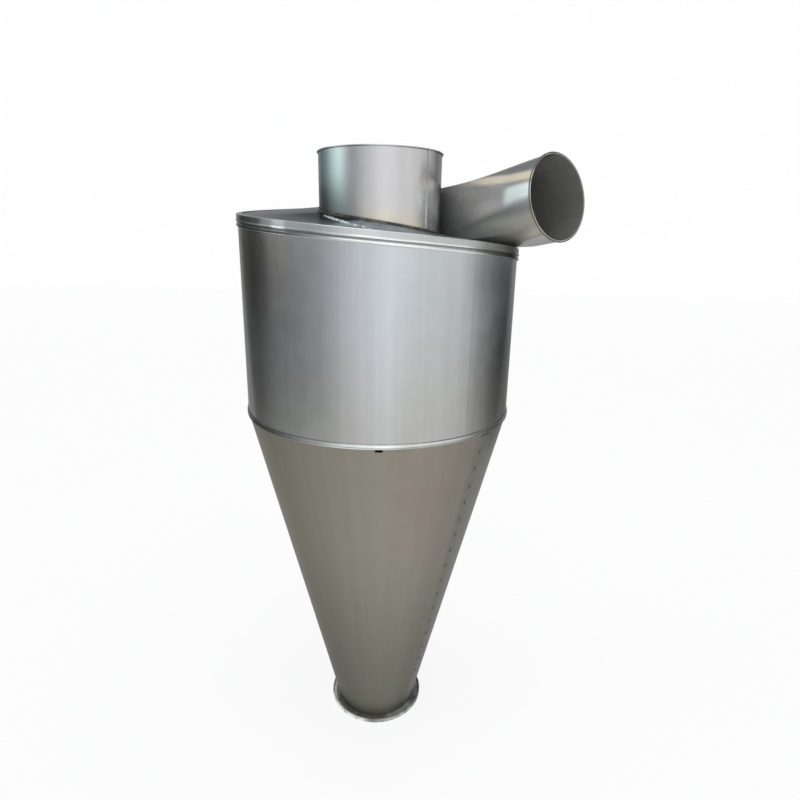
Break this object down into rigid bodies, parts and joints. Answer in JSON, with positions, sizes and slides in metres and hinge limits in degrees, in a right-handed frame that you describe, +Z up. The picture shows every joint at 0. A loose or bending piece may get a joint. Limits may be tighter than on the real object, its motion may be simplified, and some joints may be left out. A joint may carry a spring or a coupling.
{
  "type": "cyclone separator",
  "caption": "Sheet steel cyclone dust separator: barrel under a spiral roof, round tangential inlet, top outlet pipe, and a long cone down to a ring flange.",
  "frame": {"origin": "centre of the dust outlet, on the underside of the ring flange", "axes": "+Z up along the axis of the body; -Y is the side that the picture was taken from, with the inlet pointing to +X and -Y"},
  "size_m": [0.7285, 0.6074, 1.382],
  "materials": {
    "barrel_sheet": "satin galvanised sheet, soft vertical reflections",
    "roof_sheet": "satin sheet, darker",
    "rim_sheet": "bright folded edge",
    "cone_sheet": "dull grey-beige sheet, faintly mottled",
    "pipe_sheet": "satin rolled sheet",
    "weld": "rough weld and sealant",
    "flange_steel": "dull steel with a bright lip"
  },
  "bodies": {
    "root": {"barrel_back": "barrel_sheet", "barrel_front": "barrel_sheet", "barrel_left": "barrel_sheet", "barrel_right": "barrel_sheet", "cone_back": "cone_sheet", "cone_front": "cone_sheet", "cone_lap_strip": "cone_sheet", "cone_left": "cone_sheet", "cone_right": "cone_sheet", "discharge_flange": "flange_steel", "inlet_collar": "pipe_sheet", "inlet_pipe": "pipe_sheet", "inlet_rim": "pipe_sheet", "inlet_transition": "pipe_sheet", "outlet_lap_strip": "pipe_sheet", "outlet_rim": "pipe_sheet", "outlet_tube": "pipe_sheet", "outlet_weld": "weld", "rim_back": "rim_sheet", "rim_front": "rim_sheet", "rim_left": "rim_sheet", "rim_right": "rim_sheet", "roof_back": "roof_sheet", "roof_front": "roof_sheet", "roof_left": "roof_sheet", "roof_right": "roof_sheet", "waist_ring": "rim_sheet"}
  },
  "joints": []
}
